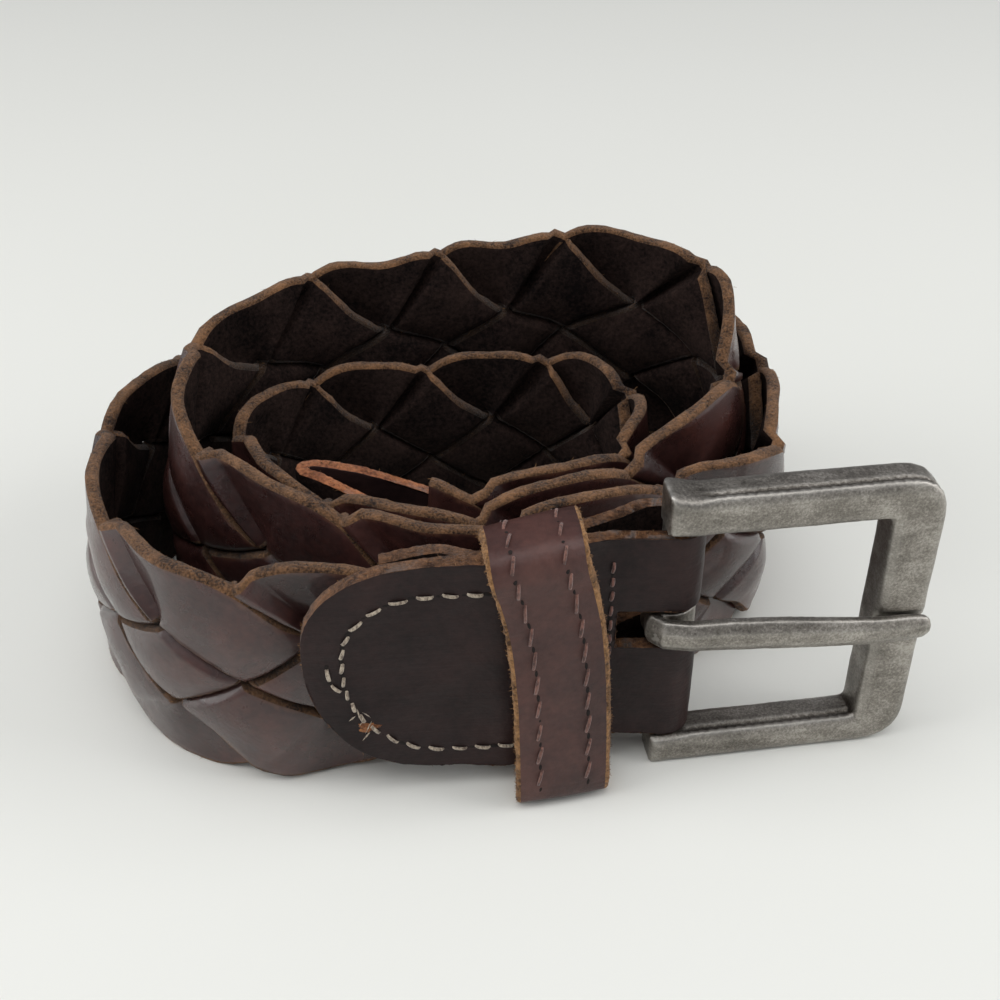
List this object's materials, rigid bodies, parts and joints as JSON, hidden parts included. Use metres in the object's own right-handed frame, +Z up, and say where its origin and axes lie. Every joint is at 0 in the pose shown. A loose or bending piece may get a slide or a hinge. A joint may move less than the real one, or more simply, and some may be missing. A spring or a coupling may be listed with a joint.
{
  "type": "braided leather belt",
  "caption": "Rolled-up braided leather belt standing on its edge, with a stitched strap end, a keeper loop and a rectangular prong buckle.",
  "frame": {"origin": "middle of the bounding box on the ground", "axes": "+Z up out of the coil, -Y towards the buckle side, +X towards the buckle's far side"},
  "size_m": [0.134, 0.0996, 0.058],
  "materials": {
    "braid_leather": "polished grain side, rough cut edges and flesh side",
    "strap_leather": "dull waxed grain",
    "keeper_leather": "satin grain",
    "pewter": "antiqued, tumbled"
  },
  "bodies": {
    "belt": {"strand_1": "braid_leather", "strand_2": "braid_leather", "strand_3": "braid_leather", "strand_4": "braid_leather", "buckle_strap": "strap_leather", "belt_tip": "strap_leather", "keeper_loop": "keeper_leather"},
    "frame": {"buckle_frame": "pewter"},
    "tongue": {"buckle_tongue": "pewter"}
  },
  "joints": [
    {"name": "frame_swing", "type": "hinge", "parent": "belt", "child": "frame", "pos_m": [0.0269, -0.0343, 0.0253], "axis": [0, 0, 1], "range_deg": [-55, 25]},
    {"name": "tongue_lift", "type": "hinge", "parent": "frame", "child": "tongue", "pos_m": [0.0269, -0.0343, 0.027], "axis": [0, 0, 1], "range_deg": [-45, 0]}
  ]
}
